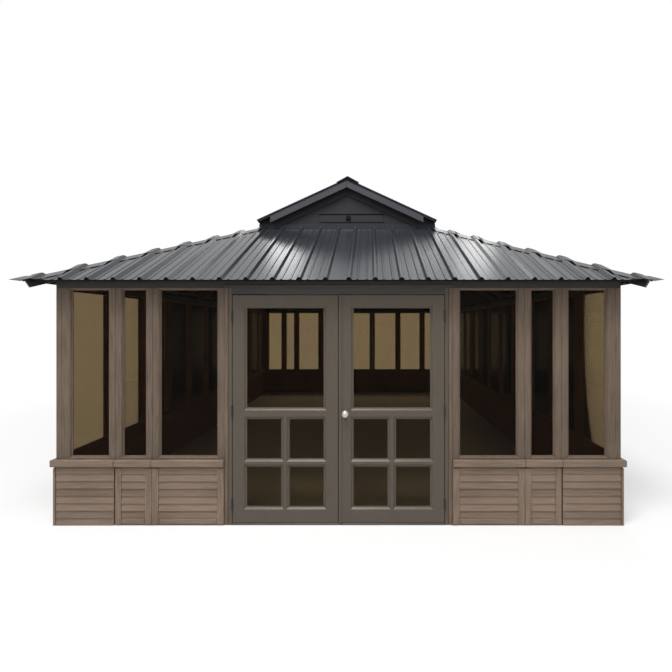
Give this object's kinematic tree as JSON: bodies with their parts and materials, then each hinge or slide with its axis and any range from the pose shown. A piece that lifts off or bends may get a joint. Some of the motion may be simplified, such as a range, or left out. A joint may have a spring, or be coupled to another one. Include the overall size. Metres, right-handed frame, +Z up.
{
  "type": "glazed wooden gazebo",
  "caption": "Enclosed wooden gazebo with clad low walls, tall tinted windows, glazed double doors and a hipped ribbed steel roof topped by a gabled vent.",
  "frame": {"origin": "middle of the plan, at ground level under the walls", "axes": "+Z up, the doors face -Y, +X to the right of someone facing the doors, the roof's ridge runs along Y"},
  "size_m": [5.544, 7.982, 3.613],
  "materials": {
    "painted_wood": "taupe paint on sawn boards, satin",
    "door_paint": "darker grey-brown paint, satin",
    "stained_wood": "red-brown stain, semi-matt",
    "charcoal_trim": "charcoal sheet trim, satin",
    "roof_steel": "dark grey coil-coated ribbed sheet, semi-gloss",
    "tinted_glass": "bronze-tinted clear glazing",
    "hinge_steel": "hinges painted with the door",
    "knob_metal": "satin nickel"
  },
  "bodies": {
    "root": {"knee_wall_front": "painted_wood", "knee_wall_back": "painted_wood", "knee_wall_left": "painted_wood", "knee_wall_right": "painted_wood", "sill_front": "painted_wood", "sill_back": "painted_wood", "sill_left": "painted_wood", "sill_right": "painted_wood", "window_frame_front": "painted_wood", "window_frame_back": "painted_wood", "window_frame_left": "painted_wood", "window_frame_right": "painted_wood", "corner_post_front_left": "painted_wood", "corner_post_front_right": "painted_wood", "corner_post_back_left": "painted_wood", "corner_post_back_right": "painted_wood", "glass_front": "tinted_glass", "glass_back": "tinted_glass", "glass_left": "tinted_glass", "glass_right": "tinted_glass", "top_beam_front": "charcoal_trim", "top_beam_back": "charcoal_trim", "top_beam_left": "charcoal_trim", "top_beam_right": "charcoal_trim", "rake_boards": "charcoal_trim", "vent_gables": "charcoal_trim", "vent_sides": "charcoal_trim", "roof_front": "roof_steel", "roof_back": "roof_steel", "roof_left": "roof_steel", "roof_right": "roof_steel", "hip_caps": "roof_steel", "vent_roof_left": "roof_steel", "vent_roof_right": "roof_steel", "vent_ridge_cap": "roof_steel", "hip_rafters": "stained_wood", "rafters": "stained_wood", "door_frame": "door_paint", "hinge_jamb_leaves": "hinge_steel"},
    "door_left": {"door_leaf_left": "door_paint", "door_glass_left": "tinted_glass", "hinges_left": "hinge_steel"},
    "door_right": {"door_leaf_right": "door_paint", "door_glass_right": "tinted_glass", "hinges_right": "hinge_steel"},
    "knob": {"door_knob": "knob_metal"}
  },
  "joints": [
    {"name": "door_left_swing", "type": "hinge", "parent": "root", "child": "door_left", "pos_m": [-0.9535, -3.774, 0], "axis": [0, 0, -1], "range_deg": [0, 110]},
    {"name": "door_right_swing", "type": "hinge", "parent": "root", "child": "door_right", "pos_m": [0.9535, -3.774, 0], "axis": [0, 0, 1], "range_deg": [0, 110]},
    {"name": "knob_turn", "type": "hinge", "parent": "door_right", "child": "knob", "pos_m": [0.061, -3.7435, 1.003], "axis": [0, 1, 0], "range_deg": [-45, 45], "stiffness_Nm_per_rad": 0.4}
  ]
}
